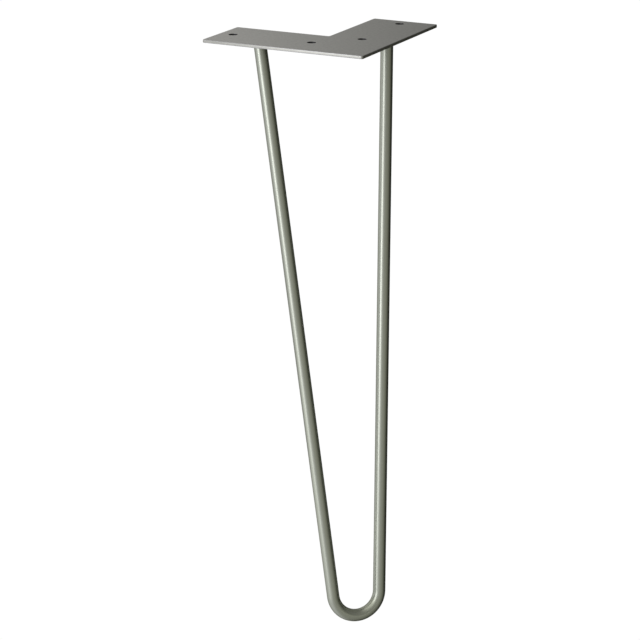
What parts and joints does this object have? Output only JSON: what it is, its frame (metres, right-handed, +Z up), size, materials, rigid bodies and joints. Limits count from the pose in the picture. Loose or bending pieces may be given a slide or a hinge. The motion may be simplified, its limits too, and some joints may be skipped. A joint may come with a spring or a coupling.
{
  "type": "hairpin table leg",
  "caption": "Hairpin table leg: a round steel bar bent into a narrow U that leans out under the corner of a flat L-shaped plate, which screws to the underside of a table top.",
  "frame": {"origin": "on the plate's top face, where the centre-lines of its two arms cross", "axes": "+Z up, out of the plate's top face; one arm of the plate runs along -X and the other along +Y, so the outer corner points to +X -Y, and the bar hangs down to the floor at -Z"},
  "size_m": [0.1489, 0.1489, 0.4599],
  "materials": {
    "satin_metal": "satin"
  },
  "bodies": {
    "root": {"mounting_plate": "satin_metal", "hairpin_rod": "satin_metal", "left_weld": "satin_metal", "right_weld": "satin_metal"}
  },
  "joints": []
}
